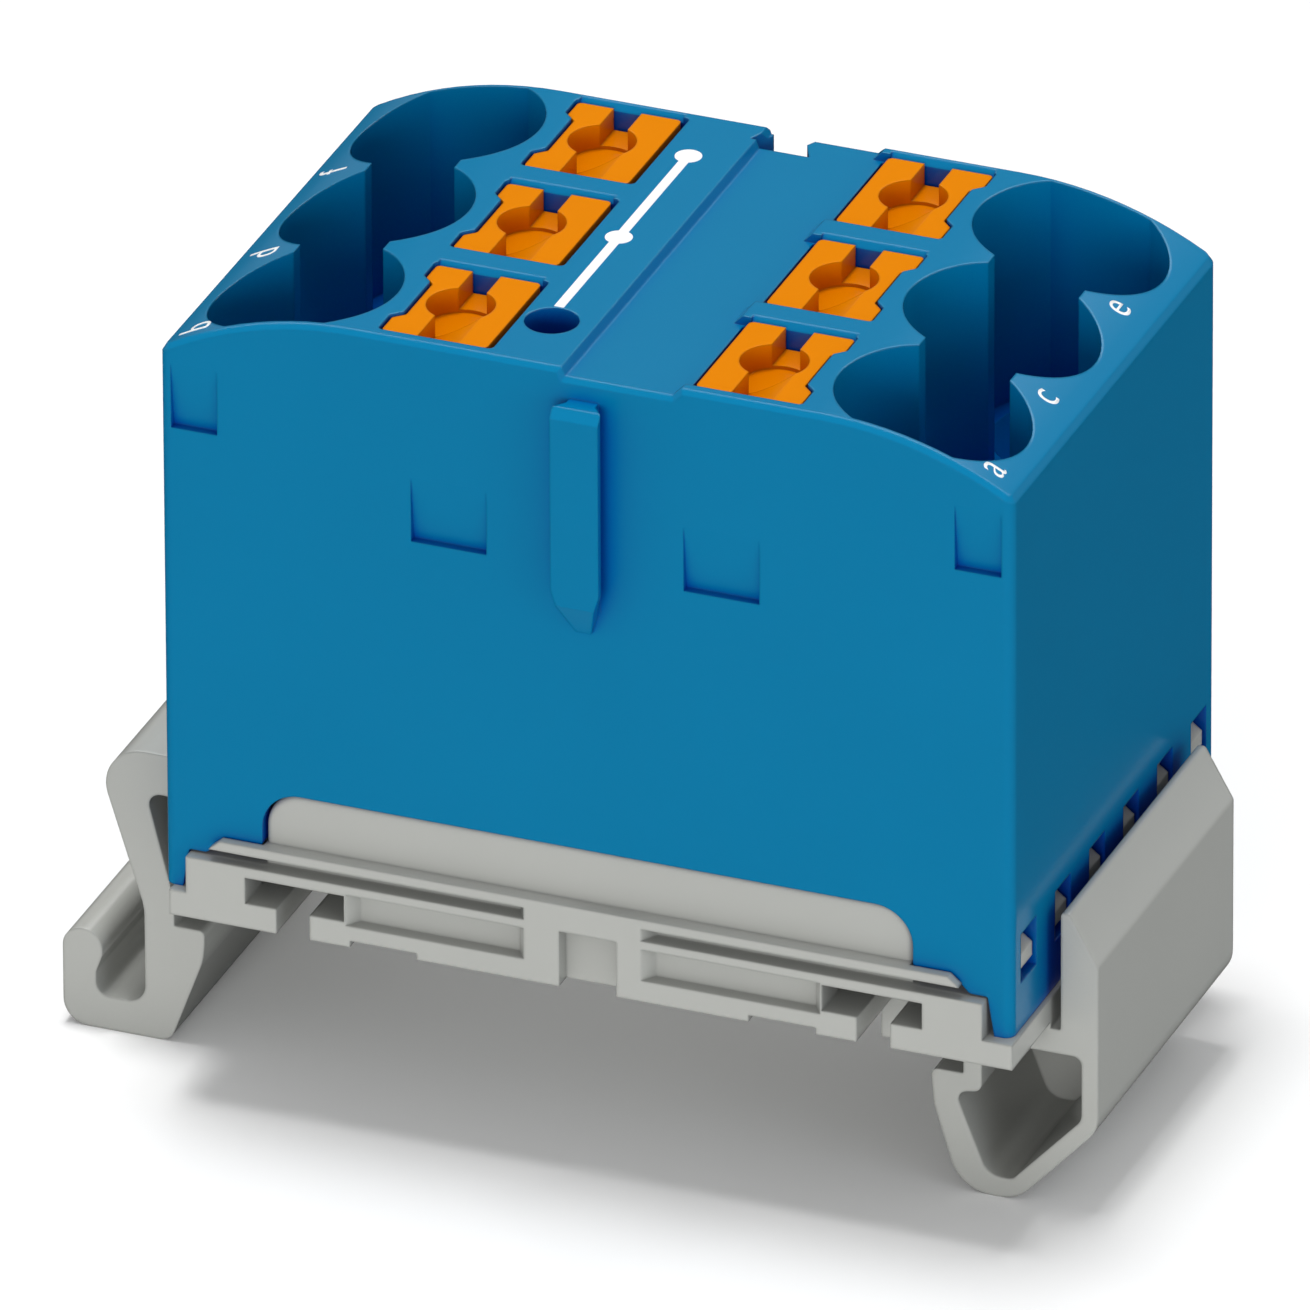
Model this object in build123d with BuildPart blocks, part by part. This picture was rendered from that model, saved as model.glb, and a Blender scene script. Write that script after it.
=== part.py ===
"""Push-in power distribution block on a rail adapter: six clamping points on one bus bar.

Millimetres, +Z up. X runs from one column of clamping points to the other, Y along each.
The origin is at the middle of the part's footprint, on the surface that its feet stand on.
"""
import math
import os

from build123d import *

os.makedirs("parts", exist_ok=True)

# Housing block, a little longer than the 35 mm that the adapter's feet span
rail_w = 35.0
block_l = rail_w + 2.8  # along X
block_h = 27.5  # above the top of the adapter plate
shoulder_run = 8.6  # the curved part of the top at each end
shoulder_drop = 2.4
corner_r = 0.45
rim_c = 0.22  # chamfer along the top's front edge
side_wall = 0.95
front_wall = 0.7
fit_gap = 0.12  # between mouldings that slide or snap together
seat_gap = 0.1  # between mouldings that are fixed together
side_gap = 0.2  # between blocks set side by side

# Clamping points: two columns of three
rows = 3
row_pitch = 7.9
funnel_in = 5.0  # from the block's end to the funnels' middle
funnel_r = 4.1
funnel_floor = 17.5  # height of the funnels' floor
funnel_rim = 0.4  # wall left between a funnel and the front face
neck_w = 4.0  # channel that joins the three funnels of a column
guide_r = 2.0  # round guide for the stripped conductor
guide_top = 15.0
lead_in_r = 3.4  # top of the cone above the guide
room_top = 12.0  # ceiling of the spring rooms
room_in = 4.1  # rooms' inner side, from the middle of the block
room_wall = 1.95  # from the rooms' outer side to the block's end
room_w = 6.3
well_h = 5.5  # open well under the rooms, for the bus bar

# Release buttons
button_x = 6.95
button_l = 6.2  # along Y
button_w = 4.65  # along X, over the end tabs
waist_d = 0.45  # recess between the tabs, on the funnels' side
tab_l = 1.2
head_in = 0.1  # the head's top, below the block's
head_h = 8.95
inner_gap = 0.32  # between the head and its pocket, on the side towards the middle
pocket_lead = 0.28  # chamfer along each pocket's rear rim
travel = 1.5
stop_gap = 0.1  # left under the head at the end of the travel
stem_w = 2.8
stem_l = 3.6
barb_d = 0.35  # barbs on the stem, caught under the ceiling of the room
barb_h = 0.6
slot_w = 1.25  # screwdriver slot
slot_d = 1.0
slot_shift = -0.12
dimple_r = 1.45
dimple_d = 1.15
ramp_run = 1.85

# Marker channel, test socket and the plain shapes on the outside
channel_l = -1.07  # top of the left side, from the middle of the block
channel_slant = 0.15
channel_r = 3.85
channel_d = 0.4
test_x = -2.95
test_r = 1.15
test_floor = 14.0
test_tab_t = 0.8  # upstanding tab of the bus bar that a test plug touches
test_tab_w = 2.0
rib_w = 2.15  # dovetail rib on the front face
rib_neck = 1.3
rib_proud = 1.2
rib_top_in = 1.3  # from the block's top
rib_l = 8.4
rib_tip = 2.3
socket_d = 1.4  # dovetail socket in the back face
socket_w = 2.6
socket_mouth = 1.64
mouth_corner = 0.2
pocket_h = 3.0  # ramped pockets in the front and back faces
pocket_d = 0.4
end_pocket_in = 1.53  # from the block's end
end_pocket_w = 2.05
end_pocket_low = 21.5
mid_pocket_x = 6.05
mid_pocket_w = 3.35
mid_pocket_low = 18.2

# Rail adapter
plate_t = 1.14
plate_left = 0.4  # the plate ends this far inside the block's left end
plate_right = 0.2  # and this far outside its right end
apron_proud = 0.54  # the adapter's front stands this far out of the block's
apron_in = 1.15
sill_h = 1.7
groove_h = 0.57
groove_d = 0.8
strip_h = 2.7  # top of the strip over the groove
strip_in = 2.18
strip_slant = 0.5
post_half = 2.6  # half the width of the post that crosses the groove
tab_in = 0.2  # the tab's face lies this far behind the block's
tab_back = 1.4
tab_r = 0.25
tab_high = 5.2
arch_in = 4.4  # from the block's end to the arch over the tab
arch_r = 1.7
arch_foot = 2.45  # height of the block's wall beside the arch
notch_x = 0.24
notch_w = 2.55
notch_h = 1.45
notch_d = 0.84
panel_in = 2.6  # recessed panels, from the middle
panel_out = 10.6
panel_low = -0.16
panel_high = 1.3
panel_d = 0.65
flare = 0.45  # recesses are this much wider in front than behind
port_in = 10.65  # ports into the hollow
port_out = 15.1
port_high = 1.23
keyway_in = 12.2  # keyways in the plate's edge
keyway_out = 13.7
keyway_run = 4.0
relief_in = 7.4
relief_out = 10.4
relief_h = 0.3
hooks = 6
window_w = 1.8
window_low = 2.15
window_high = 4.45
hook_w = 1.3
hook_t = 0.8

# Adapter's feet, with two jaws that grip 1 mm of sheet
rail_t = 1.0
grip_reach = 5.28  # from the jaw's seat to the end of the left foot
loop_reach = 6.12  # and to the end of the right foot
loop_wall = 0.72
web_t = 1.2  # web that closes the loop halfway along it
rail_shift = -2.4  # middle between the jaws, from the middle of the block
pad_h = 2.09  # pads under the plate, between it and the sheet
foot_h = 6.56  # from the pads' undersides down to the feet's soles
foot_w = 15.8  # along Y
nose_gap = 0.05

# Metal parts
bar_low = 4.4
bar_t = 1.0
bar_in = 2.7  # from the block's end
rest_in = 3.0  # from the bar's end to the end of the ribs that it rests on
rest_t = 1.2
bar_lane = 3.6  # width of each cross strip
bridge_x = 9.0  # strips that join the cross strips
bridge_w = 4.0
cage_t = 0.5
cage_w = 5.6
cage_gap = 0.45  # from the cage's wall to the room's
cage_back = 2.5  # from the room's inner side to the cage's floor
cage_top = 11.6
spring_t = 0.3
spring_w = 4.2
bend_r = 2.5
leg_fall = 14.0  # degrees that the clamping leg falls towards the conductor

# Places worked out from the sizes above
block_w = rows * row_pitch - side_gap  # along Y
half_l = block_l / 2
half_w = block_w / 2
rib_high = block_h - rib_top_in
rib_low = rib_high - rib_l
funnel_x = half_l - funnel_in
room_out = half_l - room_wall
cage_out = room_out - cage_gap
cage_in = room_in + cage_back
bar_half_l = half_l - bar_in
arch_half = half_l - arch_in
strip_half = half_l - strip_in
hook_pitch = row_pitch / 2
base_z = foot_h + pad_h + plate_t
foot_left = rail_w / 2 - rail_shift + grip_reach
foot_right = rail_w / 2 + rail_shift + loop_reach
cx = (foot_left - foot_right) / 2
cy = (rib_proud - apron_proud) / 2
row_y = [(i - (rows - 1) / 2) * row_pitch for i in range(rows)]
flange_z = foot_h
names = {(-1, 0): "b", (-1, 1): "d", (-1, 2): "f", (1, 0): "a", (1, 1): "c", (1, 2): "e"}


def level(h):
    """Horizontal plane at height h above the adapter plate, centred on the block."""
    return Plane(origin=(cx, cy, base_z + h))


def upright(y=0.0, side=1):
    """Upright plane across the block at y, seen from the front; x runs outwards to that side."""
    return Plane(origin=(cx, cy + y, base_z), x_dir=(side, 0, 0), z_dir=(0, -side, 0))


def lying(x, y, h, side):
    """Horizontal plane with x running outwards from the middle of the block."""
    return Plane(origin=(cx + side * x, cy + y, base_z + h), x_dir=(side, 0, 0), z_dir=(0, 0, 1))


def button_plan(grow=0.0, inwards=0.0):
    """Outline of a release button: end tabs and a waist on the side of the funnel."""
    out = button_w / 2 + grow
    inner = button_w / 2 + inwards
    end = button_l / 2 + grow
    waist = out - waist_d
    tab = end - tab_l - grow
    FilletPolyline(
        (-inner, -end), (out, -end), (out, -tab), (waist, -tab + waist_d),
        (waist, tab - waist_d), (out, tab), (out, end), (-inner, end),
        radius=(0.25, 0.2, 0.15, 0.15, 0.15, 0.15, 0.2, 0.25), close=True,
    )


# Dovetail rib for the front face: plan, front view and side view cut one from the other
with BuildPart() as rib:
    with BuildSketch(level(rib_low - rib_tip)):
        with BuildLine():
            Polyline(
                (-rib_neck / 2, -half_w + 0.1), (-rib_neck / 2, -half_w - 0.35),
                (-rib_w / 2, -half_w - rib_proud + 0.3), (-rib_w / 2, -half_w - rib_proud),
                (rib_w / 2, -half_w - rib_proud), (rib_w / 2, -half_w - rib_proud + 0.3),
                (rib_neck / 2, -half_w - 0.35), (rib_neck / 2, -half_w + 0.1), close=True,
            )
        make_face()
    extrude(amount=rib_high + rib_tip - rib_low)
    with BuildSketch(upright(-half_w)):
        with BuildLine():
            Polyline(
                (-rib_w / 2, rib_high), (-rib_w / 2, rib_low), (-0.35, rib_low - rib_tip),
                (0.35, rib_low - rib_tip), (rib_w / 2, rib_low), (rib_w / 2, rib_high), close=True,
            )
        make_face()
    extrude(amount=2 * rib_proud, both=True, mode=Mode.INTERSECT)
    slope_plane = Plane(origin=(cx, cy - half_w, base_z), x_dir=(0, 1, 0), z_dir=(1, 0, 0))
    with BuildSketch(slope_plane):
        with BuildLine():
            Polyline(
                (0.2, rib_high), (-rib_proud + 0.35, rib_high), (-rib_proud, rib_high - 0.45),
                (-rib_proud, rib_low - rib_tip * 0.3), (-0.2, rib_low - rib_tip),
                (0.2, rib_low - rib_tip), close=True,
            )
        make_face()
    extrude(amount=rib_w, both=True, mode=Mode.INTERSECT)

# Housing: one moulding in blue polyamide, open underneath, with a marker channel along its top
with BuildPart() as housing:
    with BuildSketch(upright()):
        with BuildLine():
            flat = half_l - shoulder_run
            low = block_h - shoulder_drop
            Polyline((-half_l, low), (-half_l, 0), (half_l, 0), (half_l, low))
            Polyline(
                (-flat, block_h), (channel_l, block_h),
                (channel_l + channel_slant, block_h - channel_d), (channel_r, block_h - channel_d),
                (channel_r + channel_d, block_h), (flat, block_h),
            )
            TangentArc((flat, block_h), (half_l, low), tangent=(1, 0))
            TangentArc((-flat, block_h), (-half_l, low), tangent=(-1, 0))
        make_face()
    extrude(amount=half_w, both=True)
    fillet(housing.edges().filter_by(Axis.Z), corner_r)
    front = housing.faces().sort_by(Axis.Y)[0]
    chamfer(front.edges().filter_by(lambda e: e.center().Z > base_z + low), rim_c)

    # Well under the rooms, and the arch over the adapter's tab in the front and back walls
    with BuildSketch(level(0)):
        Rectangle(block_l - 2 * side_wall, block_w - 2 * front_wall)
    extrude(amount=well_h, mode=Mode.SUBTRACT)
    with BuildSketch(upright()):
        with BuildLine():
            foot_in = half_l - side_wall
            FilletPolyline(
                (0, tab_high), (arch_half, tab_high), (arch_half, arch_foot),
                (arch_half + 1.9, arch_foot), (arch_half + 2.5, sill_h + seat_gap),
                (foot_in - 0.15, sill_h + seat_gap), (foot_in + 0.15, 0), (0, 0),
                radius=(arch_r, 0.35, 0.4, 0.3, 0.1, 0),
            )
            Line((0, 0), (0, tab_high))
        make_face()
        mirror(about=Plane.YZ)
    extrude(amount=half_w, both=True, mode=Mode.SUBTRACT)

    # Six rooms for the clamps
    with BuildSketch(level(0)):
        with Locations([(s * (room_in + room_out) / 2, y) for s in (-1, 1) for y in row_y]):
            Rectangle(room_out - room_in, room_w)
    extrude(amount=room_top, mode=Mode.SUBTRACT)

    # Wire funnels: three circles a column, joined by the neck and held back from the faces
    with BuildSketch(level(funnel_floor)):
        with Locations([(s * funnel_x, y) for s in (-1, 1) for y in row_y]):
            Circle(funnel_r)
        with Locations([(s * funnel_x, 0) for s in (-1, 1)]):
            Rectangle(neck_w, 2 * row_pitch)
        Rectangle(block_l, block_w - 2 * funnel_rim, mode=Mode.INTERSECT)
    extrude(amount=block_h - funnel_floor, mode=Mode.SUBTRACT)
    guide_at = [(cx + s * funnel_x, cy + y) for s in (-1, 1) for y in row_y]
    with Locations([(x, y, base_z + (guide_top + funnel_floor) / 2) for x, y in guide_at]):
        Cone(guide_r, lead_in_r, funnel_floor - guide_top, mode=Mode.SUBTRACT)
    with Locations([(x, y, base_z + (guide_top + room_top) / 2) for x, y in guide_at]):
        Cylinder(guide_r, guide_top - room_top, mode=Mode.SUBTRACT)

    # Button pockets with the ledge that stops the head, and the stems' slots
    ledge = block_h - head_in - head_h - travel - stop_gap
    for side in (-1, 1):
        for y in row_y:
            with BuildSketch(lying(button_x, y, ledge, side)):
                with BuildLine():
                    button_plan(fit_gap, inner_gap)
                make_face()
            extrude(amount=block_h - ledge, mode=Mode.SUBTRACT)
            with BuildSketch(lying(button_x, y, room_top, side)):
                Rectangle(stem_w + 2 * fit_gap, stem_l + 2 * fit_gap)
            extrude(amount=ledge - room_top, mode=Mode.SUBTRACT)

    # Chamfer along each pocket's rear rim
    for y in row_y:
        with BuildSketch(Plane(origin=(cx, cy + y, base_z), x_dir=(0, 1, 0), z_dir=(1, 0, 0))):
            with BuildLine():
                rear = button_l / 2 + fit_gap
                Polyline(
                    (rear - pocket_lead, block_h), (rear - pocket_lead, block_h - pocket_lead),
                    (rear, block_h - pocket_lead), (rear + pocket_lead, block_h), close=True,
                )
            make_face()
        lead_in = extrude(amount=button_w / 2, both=True, mode=Mode.PRIVATE)
        add([Pos(s * button_x, 0, 0) * lead_in for s in (-1, 1)], mode=Mode.SUBTRACT)

    # The marker channel is open to the right-hand pockets, between short ramped ribs
    with BuildSketch(level(block_h - channel_d)):
        with Locations([((channel_r + button_x) / 2, y) for y in row_y]):
            Rectangle(button_x - channel_r, button_l + 2 * fit_gap)
    extrude(amount=channel_d, mode=Mode.SUBTRACT)

    # Test socket
    with Locations((cx + test_x, cy + row_y[0], base_z + (block_h + test_floor) / 2)):
        Cylinder(test_r, block_h - test_floor, mode=Mode.SUBTRACT)
    with BuildSketch(level(well_h)):
        with Locations((test_x, row_y[0])):
            Rectangle(test_tab_t + 2 * fit_gap, test_tab_w + 2 * fit_gap)
    extrude(amount=test_floor - well_h, mode=Mode.SUBTRACT)

    # Windows for the adapter's hooks
    with BuildSketch(Plane(origin=(cx, cy, base_z), x_dir=(0, 1, 0), z_dir=(1, 0, 0))):
        with Locations((0, (window_low + window_high) / 2)):
            with GridLocations(hook_pitch, 1, hooks, 1):
                Rectangle(window_w, window_high - window_low)
    extrude(amount=half_l, both=True, mode=Mode.SUBTRACT)

    # Shallow ramped pockets in the front and back faces
    end_pocket = (half_l - end_pocket_in, end_pocket_low, end_pocket_w)
    mid_pocket = (mid_pocket_x, mid_pocket_low, mid_pocket_w)
    for x, low_edge, wide in (end_pocket, mid_pocket):
        with BuildSketch(Plane(origin=(cx, cy, base_z), x_dir=(0, 1, 0), z_dir=(1, 0, 0))):
            with BuildLine():
                Polyline(
                    (-half_w - 1, low_edge), (-half_w + pocket_d, low_edge),
                    (-half_w, low_edge + pocket_h), (-half_w - 1, low_edge + pocket_h), close=True,
                )
            make_face()
            mirror(about=Plane.YZ)
        pocket = extrude(amount=wide / 2, both=True, mode=Mode.PRIVATE)
        add([Pos(s * x, 0, 0) * pocket for s in (-1, 1)], mode=Mode.SUBTRACT)

    # Dovetail rib in front, its socket behind
    add(rib.part)
    with BuildSketch(level(rib_low - rib_tip)):
        with BuildLine():
            Polyline(
                (-socket_mouth / 2, half_w + 0.1), (-socket_mouth / 2, half_w - mouth_corner),
                (-socket_w / 2, half_w - socket_d), (socket_w / 2, half_w - socket_d),
                (socket_mouth / 2, half_w - 2 * mouth_corner), (socket_mouth / 2 + mouth_corner, half_w),
                (socket_mouth / 2 + mouth_corner, half_w + 0.1), close=True,
            )
        make_face()
    extrude(amount=block_h - rib_low + rib_tip, mode=Mode.SUBTRACT)

# Apron on the adapter's front, mirrored for its back: tab, sill, and strip over a groove
apron_y = -half_w - apron_proud
with BuildPart() as apron:
    with BuildSketch(upright(-half_w + tab_in)):
        with BuildLine():
            tab_x = arch_half - seat_gap
            tab_z = tab_high - seat_gap
            FilletPolyline(
                (0, tab_z), (tab_x, tab_z), (tab_x, 0), (0, 0), radius=(arch_r - seat_gap, 0),
            )
            Line((0, tab_z), (0, 0))
        make_face()
        mirror(about=Plane.YZ)
    extrude(amount=tab_in - tab_back)
    tab_face = apron.faces().sort_by(Axis.Y)[0]
    fillet(tab_face.edges().sort_by(Axis.Z)[1:], tab_r)
    with BuildSketch(upright(apron_y)):
        with Locations((0, (sill_h - plate_t) / 2)):
            Rectangle(block_l - 2 * apron_in, sill_h + plate_t)
        with Locations((0, strip_h / 2)):
            Rectangle(2 * tab_x, strip_h)
    extrude(amount=-apron_proud - tab_back)
    with BuildSketch(upright(apron_y)):
        with BuildLine():
            groove_top = sill_h + groove_h
            Polyline(
                (0, groove_top), (strip_half, groove_top), (strip_half - strip_slant, strip_h),
                (0, strip_h), close=True,
            )
        make_face()
        mirror(about=Plane.YZ)
    extrude(amount=seat_gap - apron_proud)

# What is cut out of the apron: groove, panels, ports, notch, keyways and reliefs
with BuildPart() as apron_cuts:
    with BuildSketch(level(sill_h)):
        with BuildLine():
            Polyline(
                (post_half, apron_y), (post_half + flare, apron_y + groove_d),
                (half_l, apron_y + groove_d), (half_l, apron_y), close=True,
            )
        make_face()
        mirror(about=Plane.YZ)
    extrude(amount=groove_h)
    with BuildSketch(level(panel_low)):
        with BuildLine():
            Polyline(
                (panel_in, apron_y), (panel_in + flare, apron_y + panel_d),
                (panel_out - flare, apron_y + panel_d), (panel_out, apron_y), close=True,
            )
        make_face()
        mirror(about=Plane.YZ)
    extrude(amount=panel_high - panel_low)
    with BuildSketch(upright(apron_y)):
        with Locations([(s * (port_in + port_out) / 2, port_high / 2) for s in (-1, 1)]):
            Rectangle(port_out - port_in, port_high)
    extrude(amount=-apron_proud - tab_back)
    with BuildSketch(upright(apron_y)):
        with Locations((notch_x, (notch_h - plate_t) / 2)):
            Rectangle(notch_w, notch_h + plate_t)
    extrude(amount=-notch_d)
    with BuildSketch(upright(apron_y)):
        with Locations([(s * (keyway_in + keyway_out) / 2, -plate_t / 2) for s in (-1, 1)]):
            Rectangle(keyway_out - keyway_in, plate_t)
    extrude(amount=-keyway_run)
    with BuildSketch(upright(apron_y)):
        with Locations([(s * (relief_in + relief_out) / 2, (relief_h - 2 * plate_t) / 2) for s in (-1, 1)]):
            Rectangle(relief_out - relief_in, relief_h)
    extrude(amount=-apron_proud - tab_back)

# Rail adapter: plate, aprons, hooks and both feet in one grey moulding
with BuildPart() as rail_adapter:
    with BuildSketch(level(-plate_t)):
        with Locations(((plate_left + plate_right) / 2, 0)):
            Rectangle(block_l - plate_left + plate_right, block_w + 2 * apron_proud)
    extrude(amount=plate_t)
    middle = Plane.XZ.offset(-cy)
    add([apron.part, mirror(apron.part, about=middle, mode=Mode.PRIVATE)])
    cuts_behind = mirror(apron_cuts.part, about=middle, mode=Mode.PRIVATE)
    add([apron_cuts.part, cuts_behind], mode=Mode.SUBTRACT)

    # Hooks that snap into the windows of the housing's sides
    for side in (-1, 1):
        with BuildSketch(upright(0, side)):
            with BuildLine():
                inner = half_l - side_wall - 0.15
                Polyline(
                    (inner - hook_t, -0.5), (inner, -0.5), (inner, window_low + 0.1),
                    (half_l - 0.1, window_low + 0.55), (half_l - 0.1, window_high - 1.1),
                    (inner - 0.25, window_high - 0.12), (inner - hook_t, window_high - 0.12), close=True,
                )
            make_face()
        hook = extrude(amount=hook_w / 2, both=True, mode=Mode.PRIVATE)
        add([Pos(0, (i - (hooks - 1) / 2) * hook_pitch, 0) * hook for i in range(hooks)])

    # Ribs that carry the bus bar
    with BuildSketch(level(-0.5)):
        with Locations([(0, y) for y in row_y]):
            Rectangle(2 * (bar_half_l - rest_in), rest_t)
    extrude(amount=bar_low + 0.5)

    # Left foot: sprung arch, jaw and finger grip, drawn from the jaw's seat
    left_tip = Plane(
        origin=(cx + rail_shift - rail_w / 2, cy, flange_z), x_dir=(1, 0, 0), z_dir=(0, -1, 0)
    )
    with BuildSketch(left_tip):
        with BuildLine():
            FilletPolyline(
                (-0.23, 0.23), (-0.23, -rail_t - nose_gap), (1.15, -rail_t - nose_gap),
                (1.08, -2.4), (-0.45, -foot_h), (-grip_reach, -foot_h), (-grip_reach, -1.97), (-3.49, -1.97),
                (-3.51, -3.1), (-3.8, -3.9), (-3.8, -5.01), (-1.56, -5.01), (-1.56, -0.4),
                (-3.86, 6.97), (0.8, 6.97), (0.8, pad_h), (3.6, pad_h), (3.6, 0),
                (0.1, 0), (-0.1, 5.08), (-1.45, 5.08),
                radius=(
                    0.1, 0.1, 0.25, 3.0, 0.7, 1.15, 0.89, 0.85, 0.5, 0.4, 0.6, 0.85, 2.5,
                    1.75, 0.7, 0.1, 0, 0, 0.1, 0.5, 0.55,
                ),
                close=True,
            )
        make_face()
    extrude(amount=foot_w / 2, both=True)

    # Right foot: fixed jaw and closed loop, drawn from its own jaw's seat
    right_tip = Plane(
        origin=(cx + rail_shift + rail_w / 2, cy, flange_z), x_dir=(1, 0, 0), z_dir=(0, -1, 0)
    )
    with BuildSketch(right_tip):
        with BuildLine():
            FilletPolyline(
                (-3.5, pad_h), (-3.5, 0), (0.15, 0), (0.15, -rail_t - nose_gap),
                (-1.29, -rail_t - nose_gap), (-1.17, -2.67), (0.01, -foot_h), (2.53, -foot_h),
                (loop_reach, -2.6), (loop_reach, 5.12), (4.85, 7.37), (4.47, 7.37), (4.47, 1.84),
                (4.0, 1.84), (4.0, pad_h),
                radius=(0, 0, 0.1, 0.1, 0.3, 3.0, 1.8, 1.8, 1.5, 0.4, 0.2, 0.15, 0.1, 0, 0),
                close=True,
            )
        make_face()
        loop_in = loop_reach - loop_wall
        hollow = [(0.95, 0.73), (0.95, -1.75), (-0.25, -1.95), (1.21, -5.65), (2.32, -5.65), (loop_in, -2.27)]
        with BuildLine():
            FilletPolyline(*hollow, (loop_in, 0.73), radius=(0.2, 0.4, 0.45, 0.9, 0.4, 0.7, 0.4), close=True)
        make_face(mode=Mode.SUBTRACT)
    extrude(amount=foot_w / 2, both=True)
    with BuildSketch(right_tip):
        with BuildLine():
            Polyline(*hollow, (loop_in, 0.73), close=True)
        make_face()
    extrude(amount=web_t / 2, both=True)

# Bus bar: one stamping in tinned copper under all six clamps
with BuildPart() as busbar:
    with BuildSketch(level(bar_low)):
        with Locations([(0, y) for y in row_y]):
            Rectangle(2 * bar_half_l, bar_lane)
        with Locations([(s * bridge_x, 0) for s in (-1, 1)]):
            Rectangle(bridge_w, 2 * row_pitch)
    extrude(amount=bar_t)
    with BuildSketch(level(bar_low)):
        with Locations((test_x, row_y[0])):
            Rectangle(test_tab_t, test_tab_w)
    extrude(amount=test_floor - bar_low)

metal = {"busbar": busbar}
for (side, i), letter in names.items():
    y = row_y[i]

    # Clamp cage: floor on the bus bar, contact wall behind the conductor, two cheeks
    with BuildPart() as cage:
        floor = bar_low + bar_t
        with BuildSketch(upright(y, side)):
            with BuildLine():
                Polyline(
                    (cage_in, floor), (cage_out, floor), (cage_out, cage_top),
                    (cage_out - cage_t, cage_top), (cage_out - cage_t, floor + cage_t),
                    (cage_in, floor + cage_t), close=True,
                )
            make_face()
        extrude(amount=cage_w / 2, both=True)
        with BuildSketch(upright(y, side)):
            with BuildLine():
                Polyline(
                    (cage_in + 0.6, floor), (cage_out, floor), (cage_out, cage_top - 1.2),
                    (cage_out - 2.0, cage_top - 2.0), (cage_in + 1.6, floor + 2.4), close=True,
                )
            make_face()
        cheek = extrude(amount=cage_t / 2, both=True, mode=Mode.PRIVATE)
        add([Pos(0, s * (cage_w - cage_t) / 2, 0) * cheek for s in (-1, 1)])
    metal["clamp_cage_" + letter] = cage

    # Leg spring: seat on the cage's floor, bend, and the leg that grips the conductor
    with BuildPart() as spring:
        seat = floor + cage_t + spring_t / 2
        bend_x = cage_in + 0.3
        fall = math.radians(leg_fall)
        leg_x = bend_x + bend_r * math.sin(fall)
        leg_z = seat + bend_r + bend_r * math.cos(fall)
        tip_x = cage_out - cage_t - 0.3
        with BuildSketch(upright(y, side)):
            with BuildLine():
                Line((cage_out - 3.4, seat), (bend_x, seat))
                ThreePointArc((bend_x, seat), (bend_x - bend_r, seat + bend_r), (leg_x, leg_z))
                Line((leg_x, leg_z), (tip_x, leg_z - (tip_x - leg_x) * math.tan(fall)))
            trace(line_width=spring_t)
        extrude(amount=spring_w / 2, both=True)
    metal["clamp_spring_" + letter] = spring

    # Release button: head with screwdriver slot and dimple, stem with two barbs
    with BuildPart() as button:
        head_top = block_h - head_in
        with BuildSketch(lying(button_x, y, head_top - head_h, side)):
            with BuildLine():
                button_plan()
            make_face()
        extrude(amount=head_h)
        stem_low = leg_z + spring_t
        with BuildSketch(upright(y, side)):
            with BuildLine():
                Polyline(
                    (button_x - stem_w / 2, head_top - head_h), (button_x - stem_w / 2, stem_low + 0.8),
                    (button_x, stem_low), (button_x + stem_w / 2, stem_low),
                    (button_x + stem_w / 2, head_top - head_h), close=True,
                )
            make_face()
        extrude(amount=stem_l / 2, both=True)
        with BuildSketch(Plane(origin=(cx, cy + y, base_z), x_dir=(0, 1, 0), z_dir=(1, 0, 0))):
            with BuildLine():
                barb_top = room_top - fit_gap
                Polyline(
                    (0, barb_top), (stem_l / 2 + barb_d, barb_top), (stem_l / 2, barb_top - barb_h),
                    (0, barb_top - barb_h), close=True,
                )
            make_face()
            mirror(about=Plane.YZ)
        barbs = extrude(amount=stem_w / 4, both=True, mode=Mode.PRIVATE)
        add(Pos(side * button_x, 0, 0) * barbs)
        slot_x = button_x * side + slot_shift
        with BuildSketch(level(head_top - slot_d)):
            with Locations((slot_x, y + button_l / 4)):
                Rectangle(slot_w, button_l / 2)
        extrude(amount=slot_d + 1, mode=Mode.SUBTRACT)
        with BuildSketch(upright(y)):
            with BuildLine():
                left = slot_x - slot_w / 2
                Polyline(
                    (left, head_top - slot_d), (left + ramp_run, head_top), (left + ramp_run, head_top + 1),
                    (left, head_top + 1), close=True,
                )
            make_face()
        extrude(amount=button_l / 2, mode=Mode.SUBTRACT)
        with Locations((cx + slot_x, cy + y + 0.2, base_z + head_top - dimple_d / 2)):
            Cylinder(dimple_r, dimple_d, mode=Mode.SUBTRACT)
    metal["button_" + letter] = button

housing.part.label = "housing"
export_step(housing.part, "parts/housing.step")
rail_adapter.part.label = "rail_adapter"
export_step(rail_adapter.part, "parts/rail_adapter.step")
for name, piece in metal.items():
    piece.part.label = name
    export_step(piece.part, f"parts/{name}.step")
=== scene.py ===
# %% [markdown]
# # A push-in distribution block, dressed for its portrait
# The block is a small moulded part: a blue housing on a grey rail adapter, with six orange release buttons.
# Its solids come from the CAD frame at their true size, so nothing here is modelled twice.
# What this lesson adds is the finish: plastics with a moulded grain, tinned metal, printed marks and soft light.

# %% Load the frame
import math

import bmesh
import bpy
from mathutils import Matrix, Vector
from mathutils.bvhtree import BVHTree


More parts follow.
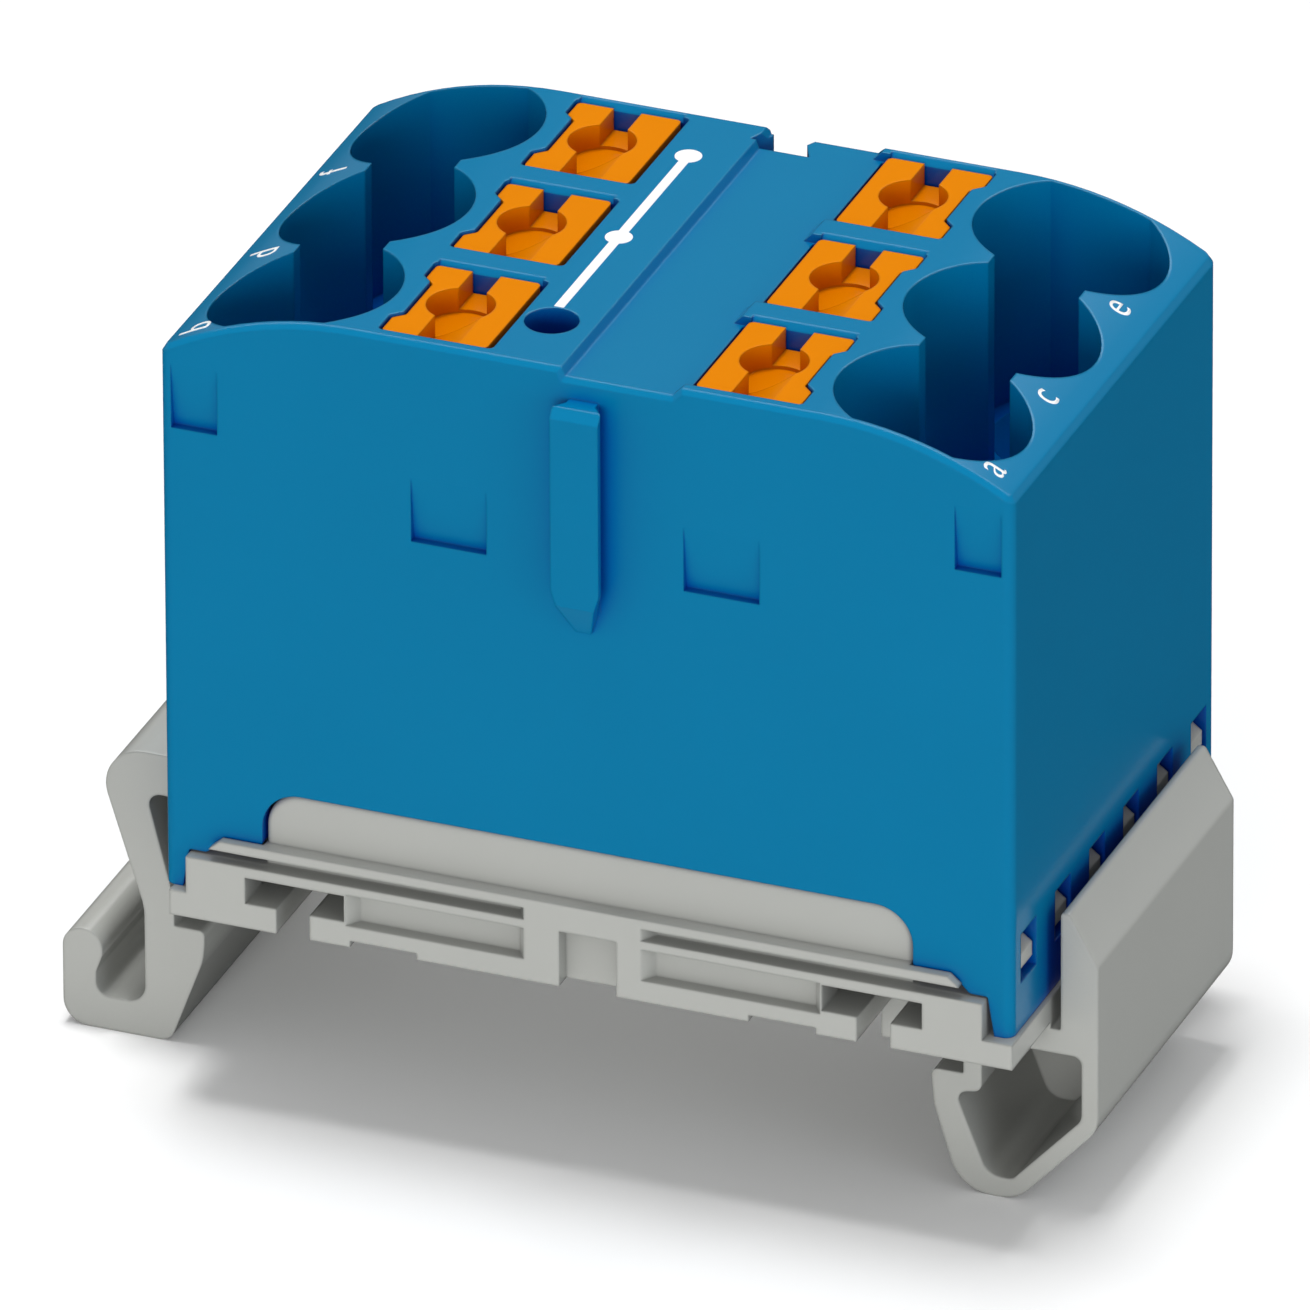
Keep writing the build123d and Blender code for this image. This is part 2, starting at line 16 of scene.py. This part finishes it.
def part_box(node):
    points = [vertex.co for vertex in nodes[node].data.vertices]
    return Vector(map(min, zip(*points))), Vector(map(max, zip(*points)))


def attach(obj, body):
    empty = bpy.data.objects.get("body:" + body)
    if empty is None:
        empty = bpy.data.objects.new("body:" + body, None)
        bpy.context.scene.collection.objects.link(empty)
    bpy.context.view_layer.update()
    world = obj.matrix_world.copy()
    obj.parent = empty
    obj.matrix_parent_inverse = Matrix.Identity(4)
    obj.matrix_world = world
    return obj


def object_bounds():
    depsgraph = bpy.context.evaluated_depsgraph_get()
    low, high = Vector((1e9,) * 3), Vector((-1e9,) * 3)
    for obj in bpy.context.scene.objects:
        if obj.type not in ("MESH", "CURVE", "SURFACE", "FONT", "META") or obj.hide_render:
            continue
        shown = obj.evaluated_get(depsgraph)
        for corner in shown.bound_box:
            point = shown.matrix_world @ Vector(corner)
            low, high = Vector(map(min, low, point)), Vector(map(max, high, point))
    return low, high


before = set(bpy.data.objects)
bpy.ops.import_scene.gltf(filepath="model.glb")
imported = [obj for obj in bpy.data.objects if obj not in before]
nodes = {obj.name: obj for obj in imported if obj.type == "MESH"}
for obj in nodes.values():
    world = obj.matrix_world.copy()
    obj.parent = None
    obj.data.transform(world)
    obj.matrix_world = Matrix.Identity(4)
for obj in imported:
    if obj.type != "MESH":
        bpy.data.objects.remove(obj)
cad_low, cad_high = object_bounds()
MM = 0.001
print("nodes", len(nodes), "size in mm", [round(v / MM, 2) for v in cad_high - cad_low])

# %% [markdown]
# ## Colours and nodes
# Colours are picked as sRGB hex values, the way a designer notes them from a swatch.
# Shaders work on linear light, so one function turns each hex value into linear numbers.
# A second small function adds a shader node, sets its inputs and makes its links, which keeps each material short.


# %% Two helpers for every material
def linear(hex_colour):
    """Linear RGBA from an sRGB hex value such as '0078A6'."""
    levels = [int(hex_colour[i:i + 2], 16) / 255 for i in (0, 2, 4)]
    return [v / 12.92 if v <= 0.04045 else ((v + 0.055) / 1.055) ** 2.4 for v in levels] + [1.0]


def add_node(material, kind, settings=None, **inputs):
    """Adds a node, sets its properties, and fills its inputs with values or with links from other nodes."""
    tree = material.node_tree
    made = tree.nodes.new(kind)
    for name, value in (settings or {}).items():
        setattr(made, name, value)
    for name, value in inputs.items():
        socket = made.inputs[int(name[1:])] if name[1:].isdigit() else made.inputs[name.replace("_", " ")]
        if isinstance(value, bpy.types.NodeSocket):
            tree.links.new(value, socket)
        else:
            socket.default_value = value
    return made


def new_material(name):
    """An empty node material and its output node."""
    material = bpy.data.materials.new(name)
    material.use_nodes = True
    material.node_tree.nodes.clear()
    return material, material.node_tree.nodes.new("ShaderNodeOutputMaterial")


print("linear blue", [round(v, 3) for v in linear("0078A6")[:3]])

# %% [markdown]
# ## Moulded polyamide
# The housing, the adapter and the buttons are glass-free polyamide 6.6, injection moulded in spark-eroded tools.
# The eye reads three things: an even body colour, a satin sheen, and edges that catch the light.
# The tool's grain is about 0.04 mm, too fine to show here, so it is drawn at 0.16 mm and kept very shallow.
# A faint, broad change in tone stands for the flow of the melt.
# Deep places, such as the funnels, get painted shade. An Ambient Occlusion node finds them, and there the body
# colour turns towards a darker, richer one, on top of the shade that the lamps already give.
# Real moulded edges are never sharp: a Bevel node rounds them in the shading, and draws their pale lines. The
# adapter's edges look a little rounder than the housing's, so they get a wider one.

# %% Polyamide
POLYAMIDE_IOR = 1.53
GRAIN = 0.16 * MM
GRAIN_HEIGHT = 0.01 * MM
GRAIN_STRENGTH = 0.12
FLOW = 9 * MM
FLOW_TONE = 0.03
MOULD_EDGE = 0.15 * MM
ADAPTER_EDGE = 0.2 * MM
# The last three set the painted shade in deep places: how far the Ambient Occlusion node looks, the openness below
# which the shade is full, and the openness above which there is none.
PAINTED_SHADE_REACH = 7 * MM
PAINTED_SHADE_FULL_BELOW = 0.12
PAINTED_SHADE_NONE_ABOVE = 0.82


def moulded_polyamide(name, colour, painted_shade_colour, roughness, gloss_level, edge=MOULD_EDGE):
    """Injection-moulded polyamide: its colour, the painted shade that darkens it in deep places, and its gloss."""
    material, output = new_material(name)
    place = add_node(material, "ShaderNodeTexCoord")
    flow = add_node(material, "ShaderNodeTexNoise", Vector=place.outputs["Object"], Scale=1 / FLOW, Detail=2.0)
    tone = add_node(material, "ShaderNodeMapRange", Value=flow.outputs["Fac"], To_Min=1 - FLOW_TONE,
                    To_Max=1 + FLOW_TONE)
    # Painted shade: where the Ambient Occlusion node finds little open air, the body colour is mixed towards the
    # painted-shade colour.
    painted_shade_occlusion = add_node(material, "ShaderNodeAmbientOcclusion", {"samples": 4}, Distance=PAINTED_SHADE_REACH)
    painted_shade_amount = add_node(material, "ShaderNodeMapRange", Value=painted_shade_occlusion.outputs["AO"], From_Min=PAINTED_SHADE_FULL_BELOW,
                     From_Max=PAINTED_SHADE_NONE_ABOVE)
    body = add_node(material, "ShaderNodeMix", {"data_type": "RGBA"}, i0=painted_shade_amount.outputs["Result"],
                    i6=linear(painted_shade_colour), i7=linear(colour))
    tinted = add_node(material, "ShaderNodeHueSaturation", Value=tone.outputs["Result"], Color=body.outputs[2])
    grain = add_node(material, "ShaderNodeTexNoise", Vector=place.outputs["Object"], Scale=1 / GRAIN, Detail=1.0)
    rounded = add_node(material, "ShaderNodeBevel", {"samples": 6}, Radius=edge)
    bump = add_node(material, "ShaderNodeBump", Strength=GRAIN_STRENGTH, Distance=GRAIN_HEIGHT,
                    Height=grain.outputs["Fac"], Normal=rounded.outputs["Normal"])
    shader = add_node(material, "ShaderNodeBsdfPrincipled", Base_Color=tinted.outputs["Color"],
                      Roughness=roughness, IOR=POLYAMIDE_IOR, Specular_IOR_Level=gloss_level,
                      Normal=bump.outputs["Normal"])
    material.node_tree.links.new(shader.outputs["BSDF"], output.inputs["Surface"])
    return material


# The second colour of each polyamide is the painted shade for its deep places.
blue = moulded_polyamide("blue_moulded_polyamide", "0078A6", "002FA4", 0.2, 0.35)
grey = moulded_polyamide("grey_moulded_polyamide", "B8B9B4", "989995", 0.2, 0.5, ADAPTER_EDGE)
orange = moulded_polyamide("orange_moulded_polyamide", "E28300", "C86C00", 0.2, 0.05)
print("polyamides", blue.name, grey.name, orange.name)

# %% [markdown]
# ## Tinned copper and spring steel
# The bus bar and the clamp cages are stamped from copper strip and hot-dip tinned, so they are pale and a little
# cloudy.
# The leg springs are rolled stainless spring steel: darker, with fine lines along the strip.
# Both are metals, so the colour is the reflection itself, and its tint and roughness tell them apart.

# %% Metals
TIN_CLOUD = 1.2 * MM
ROLLING_LINE = 0.12 * MM
ROUGHNESS_SWING = 0.2


def bare_metal(name, colour, roughness, pattern_size, stretch):
    """Metal whose roughness varies with a cloudy or streaked pattern."""
    material, output = new_material(name)
    place = add_node(material, "ShaderNodeTexCoord")
    along = add_node(material, "ShaderNodeMapping", Vector=place.outputs["Object"], Scale=stretch)
    pattern = add_node(material, "ShaderNodeTexNoise", Vector=along.outputs["Vector"], Scale=1 / pattern_size,
                       Detail=3.0)
    rough = add_node(material, "ShaderNodeMapRange", Value=pattern.outputs["Fac"],
                     To_Min=roughness * (1 - ROUGHNESS_SWING), To_Max=roughness * (1 + ROUGHNESS_SWING))
    shader = add_node(material, "ShaderNodeBsdfPrincipled", Base_Color=linear(colour), Metallic=1.0,
                      Roughness=rough.outputs["Result"])
    material.node_tree.links.new(shader.outputs["BSDF"], output.inputs["Surface"])
    return material


tin = bare_metal("tinned_copper", "CFCCC4", 0.3, TIN_CLOUD, (1, 1, 1))
spring_steel = bare_metal("rolled_spring_steel", "9A9C9E", 0.25, ROLLING_LINE, (0.1, 1, 1))
print("metals", tin.name, spring_steel.name)

# %% [markdown]
# ## Dress the CAD nodes
# Each node keeps its mesh and place. Only the material in its slots changes, and the start of a node's name says
# which piece it is.

# %% Give every node its material
FINISH = {"housing": blue, "rail_adapter": grey, "button": orange, "busbar": tin, "clamp_cage": tin,
          "clamp_spring": spring_steel}
for name, piece in nodes.items():
    piece.data.materials.clear()
    piece.data.materials.append(next(finish for kind, finish in FINISH.items() if name.startswith(kind)))
print("dressed", sorted({p.data.materials[0].name for p in nodes.values()}))

# %% [markdown]
# ## Printed marks
# The top carries white marks: an index letter beside each funnel, and a line with two dots that shows
# which points are joined. They are pad printed, a film of ink about 0.02 mm thick.
# A film that thin has no side to see, so each mark is a flat outline, cut into strips and laid on the housing.
# Every point is dropped on the moulding by a ray from above, so that the marks follow the curved shoulders. The film
# reaches a little into the moulding, so that no gap shows under it.

# %% Ink and a way to lay it
INK_FILM = 0.02 * MM
INK_ROOT = 0.03 * MM
STRIP = 0.25 * MM
ink, ink_output = new_material("white_pad_print_ink")
ink_shader = add_node(ink, "ShaderNodeBsdfPrincipled", Base_Color=linear("F6F8F8"), Roughness=0.5, IOR=1.5)
ink.node_tree.links.new(ink_shader.outputs["BSDF"], ink_output.inputs["Surface"])

moulding = nodes["housing"]
moulding_faces = BVHTree.FromPolygons([v.co for v in moulding.data.vertices],
                                      [p.vertices for p in moulding.data.polygons])
housing_low, housing_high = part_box("housing")


def drop(x, y):
    """Height of the housing's surface under a point, in metres."""
    found = moulding_faces.ray_cast(Vector((x, y, housing_high.z + MM)), Vector((0, 0, -1)))[0]
    return found.z


def lay_print(name, flat):
    """Turns a flat bmesh, already at its x and y, into a film of ink on the housing."""
    xs = [v.co.x for v in flat.verts]
    for i in range(1, int((max(xs) - min(xs)) / STRIP) + 1):
        everything = flat.verts[:] + flat.edges[:] + flat.faces[:]
        bmesh.ops.bisect_plane(flat, geom=everything, plane_co=(min(xs) + i * STRIP, 0, 0), plane_no=(1, 0, 0))
    for face in flat.faces:
        if face.normal.z < 0:
            face.normal_flip()
    for vert in flat.verts:
        vert.co.z = drop(vert.co.x, vert.co.y) + INK_FILM
    lower = bmesh.ops.extrude_face_region(flat, geom=flat.faces[:])
    for vert in [g for g in lower["geom"] if isinstance(g, bmesh.types.BMVert)]:
        vert.co.z -= INK_FILM + INK_ROOT
    bmesh.ops.recalc_face_normals(flat, faces=flat.faces)
    mesh = bpy.data.meshes.new(name)
    flat.to_mesh(mesh)
    flat.free()
    mesh.materials.append(ink)
    piece = bpy.data.objects.new(name, mesh)
    bpy.context.scene.collection.objects.link(piece)
    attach(piece, "block")
    return piece


print("ink film", INK_FILM / MM, "mm")

# %% [markdown]
# ## Index letters
# Both columns read the same way: turned a quarter, with the letters' heads towards the left end.
# Blender's own font is close enough to the plain condensed face on such parts once it is narrowed a little.
# Each letter's place is in millimetres from the middle of the top.

# %% Letters a to f
LETTER_SIZE = 1.9 * MM
LETTER_NARROW = 0.94
LETTER_THINNED = -0.01 * MM
LETTER_PLACE = {
    "a": (17.63, -10.52), "c": (17.44, -3.98), "e": (17.39, 4.45),
    "b": (-17.67, -10.69), "d": (-17.57, -3.67), "f": (-17.7, 4.4),
}
middle_button_low, middle_button_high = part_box("button_c")
middle = Vector(((housing_low.x + housing_high.x) / 2, (middle_button_low.y + middle_button_high.y) / 2, 0))


def index_letter(letter):
    """One printed letter, centred beside its funnel."""
    curve = bpy.data.curves.new("letter_" + letter, "FONT")
    curve.body = letter
    curve.size = LETTER_SIZE
    curve.align_x = "CENTER"
    curve.offset = LETTER_THINNED
    text = bpy.data.objects.new("letter_" + letter, curve)
    bpy.context.scene.collection.objects.link(text)
    bpy.context.view_layer.update()
    flat = bmesh.new()
    flat.from_mesh(bpy.data.meshes.new_from_object(text.evaluated_get(bpy.context.evaluated_depsgraph_get())))
    bpy.data.objects.remove(text)
    tall = max(v.co.y for v in flat.verts)
    centred = Matrix.Translation((0, -tall / 2, 0))
    narrowed = Matrix.Diagonal((LETTER_NARROW, 1, 1, 1))
    quarter_turn = Matrix.Rotation(math.pi / 2, 4, "Z")
    place = Matrix.Translation(middle + Vector((*LETTER_PLACE[letter], 0)) * MM)
    flat.transform(place @ quarter_turn @ narrowed @ centred)
    return lay_print("index_" + letter, flat)


letters = [index_letter(letter) for letter in "abcdef"]
print("letters", [piece.name for piece in letters])

# %% [markdown]
# ## The joined-points line
# A thin line starts behind the test socket, runs back through one dot and ends in a second.
# A printer inks the three as one film, so they are one outline here too: up the right side, round the first
# dot, round the end of the second, and back down the left side.

# %% Line and dots
LINE_X = -3.13 * MM
LINE_WIDTH = 0.43 * MM
LINE_START = -6.65 * MM
DOT_RADIUS = 0.58 * MM
DOT_Y = (0.05 * MM, 7.9 * MM)
DOT_STEPS = 24


def arc(y, first, last):
    """Points round a dot on the line, between two angles in radians."""
    turns = [first + (last - first) * i / DOT_STEPS for i in range(DOT_STEPS + 1)]
    line = middle + Vector((LINE_X, y, 0))
    return [(line.x + DOT_RADIUS * math.cos(t), line.y + DOT_RADIUS * math.sin(t)) for t in turns]


neck = math.acos(LINE_WIDTH / 2 / DOT_RADIUS)
left, right = middle.x + LINE_X - LINE_WIDTH / 2, middle.x + LINE_X + LINE_WIDTH / 2
outline = [(left, middle.y + LINE_START), (right, middle.y + LINE_START)]
outline += arc(DOT_Y[0], -neck, neck) + arc(DOT_Y[1], -neck, math.pi + neck)
outline += arc(DOT_Y[0], math.pi - neck, math.pi + neck)
film = bmesh.new()
film.faces.new([film.verts.new((x, y, 0)) for x, y in outline])
film.normal_update()
joined = lay_print("joined_points_line", film)
print("outline points", len(outline), "film faces", len(joined.data.polygons))

# %% [markdown]
# ## Floor and sky
# A product shot on white needs a floor that is white and still takes the soft shadow of the feet.
# Camera rays see the floor and the sky as white. To the light that bounces, the floor is a pale grey card, and the
# sky is a dim dome that ends at the horizon. Mirror rays find the floor dark and the dome dimmer still, but for two
# cards: a pale one along the horizon and a bright one high up behind the object. At the camera's height the flat
# faces mirror neither, so no veil lies on their colour, and the rounded edges mirror both as fine pale lines.
# A direction's Z is its height: 0 at the horizon and 1 straight up.

# %% Floor and world
FLOOR_SIZE = 3.0
FLOOR_WHITE = "FFFFFF"
FLOOR_BOUNCE = "D8D8D8"
FLOOR_MIRRORED = "202020"
SKY_LEVEL = 0.52
SKY_MIRRORED = 0.12
HORIZON_BLUR = 0.05
HORIZON_CARD = 0.35
HORIZON_CARD_TOP = (0.16, 0.22)
HIGH_CARD = 4.2
HIGH_CARD_FOOT = (0.56, 0.62)
HIGH_CARD_SIDE = 0.1
floor_material, floor_output = new_material("white_studio_floor")
seen = add_node(floor_material, "ShaderNodeLightPath")
unseen = add_node(floor_material, "ShaderNodeMix", {"data_type": "RGBA"}, i0=seen.outputs["Is Glossy Ray"],
                  i6=linear(FLOOR_BOUNCE), i7=linear(FLOOR_MIRRORED))
shade = add_node(floor_material, "ShaderNodeMix", {"data_type": "RGBA"}, i0=seen.outputs["Is Camera Ray"],
                 i6=unseen.outputs[2], i7=linear(FLOOR_WHITE))
floor_shader = add_node(floor_material, "ShaderNodeBsdfDiffuse", Color=shade.outputs[2])
floor_material.node_tree.links.new(floor_shader.outputs["BSDF"], floor_output.inputs["Surface"])
floor_mesh = bmesh.new()
bmesh.ops.create_grid(floor_mesh, x_segments=1, y_segments=1, size=FLOOR_SIZE)
plane = bpy.data.meshes.new("studio_floor")
floor_mesh.to_mesh(plane)
floor_mesh.free()
plane.materials.append(floor_material)
floor = bpy.data.objects.new("studio_floor", plane)
bpy.context.scene.collection.objects.link(floor)

world = bpy.data.worlds.new("studio")
bpy.context.scene.world = world
world.use_nodes = True
world.node_tree.nodes.clear()
direction = add_node(world, "ShaderNodeTexCoord")
parts = add_node(world, "ShaderNodeSeparateXYZ", Vector=direction.outputs["Generated"])
path = add_node(world, "ShaderNodeLightPath")
low_card = add_node(world, "ShaderNodeMapRange", Value=parts.outputs["Z"], From_Min=HORIZON_CARD_TOP[0],
                    From_Max=HORIZON_CARD_TOP[1], To_Min=HORIZON_CARD, To_Max=SKY_MIRRORED)
card_height = add_node(world, "ShaderNodeMapRange", Value=parts.outputs["Z"], From_Min=HIGH_CARD_FOOT[0],
                       From_Max=HIGH_CARD_FOOT[1], To_Max=HIGH_CARD)
card_depth = add_node(world, "ShaderNodeMapRange", Value=parts.outputs["Y"], From_Max=HIGH_CARD_SIDE)
cards = add_node(world, "ShaderNodeMath", {"operation": "MULTIPLY_ADD"}, i0=card_height.outputs["Result"],
                 i1=card_depth.outputs["Result"], i2=low_card.outputs["Result"])
sky = add_node(world, "ShaderNodeMix", i0=path.outputs["Is Glossy Ray"], i2=SKY_LEVEL, i3=cards.outputs[0])
dome = add_node(world, "ShaderNodeMapRange", Value=parts.outputs["Z"], From_Min=-HORIZON_BLUR,
                From_Max=HORIZON_BLUR, To_Max=sky.outputs[0])
level = add_node(world, "ShaderNodeMix", i0=path.outputs["Is Camera Ray"], i2=dome.outputs["Result"], i3=1.0)
glow = add_node(world, "ShaderNodeBackground", Strength=level.outputs[0])
add_node(world, "ShaderNodeOutputWorld", Surface=glow.outputs["Background"])
print("floor", FLOOR_SIZE, "m, sky", SKY_LEVEL, "mirrored cards", HORIZON_CARD, HIGH_CARD)

# %% [markdown]
# ## Light
# Three soft lamps, as round a small product table. The key lamp hangs above, a touch behind and to the left, and
# lights the top but not the funnels' walls. A low one in front lights the front face, and a weak, slightly cool one
# fills the right side. They are hidden from mirror rays, because the cards in the sky give the edges their lines.

# %% Lamps
centre = (cad_low + cad_high) / 2


def soft_lamp(name, direction, distance, size, watts, colour="FFFFFF"):
    """A square lamp that looks at the middle of the object."""
    lamp = bpy.data.lights.new(name, "AREA")
    lamp.size = size
    lamp.energy = watts
    lamp.color = linear(colour)[:3]
    made = bpy.data.objects.new(name, lamp)
    made.location = centre + Vector(direction).normalized() * distance
    made.rotation_euler = (centre - made.location).to_track_quat("-Z", "Y").to_euler()
    made.visible_glossy = False
    bpy.context.scene.collection.objects.link(made)
    return made


lamps = [
    soft_lamp("key", direction=(-0.07, 0.05, 1.0), distance=1.0, size=0.25, watts=6.2),
    soft_lamp("front", direction=(0.17, -1.0, 0.12), distance=0.8, size=0.4, watts=3.5),
    soft_lamp("right_fill", direction=(1.0, -0.3, 0.08), distance=0.9, size=0.5, watts=1.75, colour="EEF6FF"),
]
print("lamps", [lamp.name for lamp in lamps])

# %% [markdown]
# ## Camera
# Catalogue pictures of such parts are taken from far away with a very long lens, so upright edges stay nearly
# parallel. The camera looks from the front right, 28 degrees above the horizon.

# %% Camera
AZIMUTH = math.radians(21.7)
ELEVATION = math.radians(28.08)
ROLL = math.radians(-0.25)
DISTANCE = 1.47
AIM = Vector((0.4, 0.33, 18.01)) * MM
LENS = 970
SENSOR = 36
to_camera = Vector((math.sin(AZIMUTH) * math.cos(ELEVATION), -math.cos(AZIMUTH) * math.cos(ELEVATION),
                    math.sin(ELEVATION)))
camera = bpy.data.cameras.new("camera")
camera.lens = LENS
camera.sensor_width = SENSOR
camera.clip_start = 0.1
camera.clip_end = 20
viewer = bpy.data.objects.new("camera", camera)
viewer.location = AIM + to_camera * DISTANCE
viewer.rotation_mode = "QUATERNION"
viewer.rotation_quaternion = (-to_camera).to_track_quat("-Z", "Y") @ Matrix.Rotation(ROLL, 4, "Z").to_quaternion()
bpy.context.scene.collection.objects.link(viewer)
bpy.context.scene.camera = viewer
bpy.context.scene.view_settings.view_transform = "Standard"
print("camera at", [round(v, 3) for v in viewer.location])
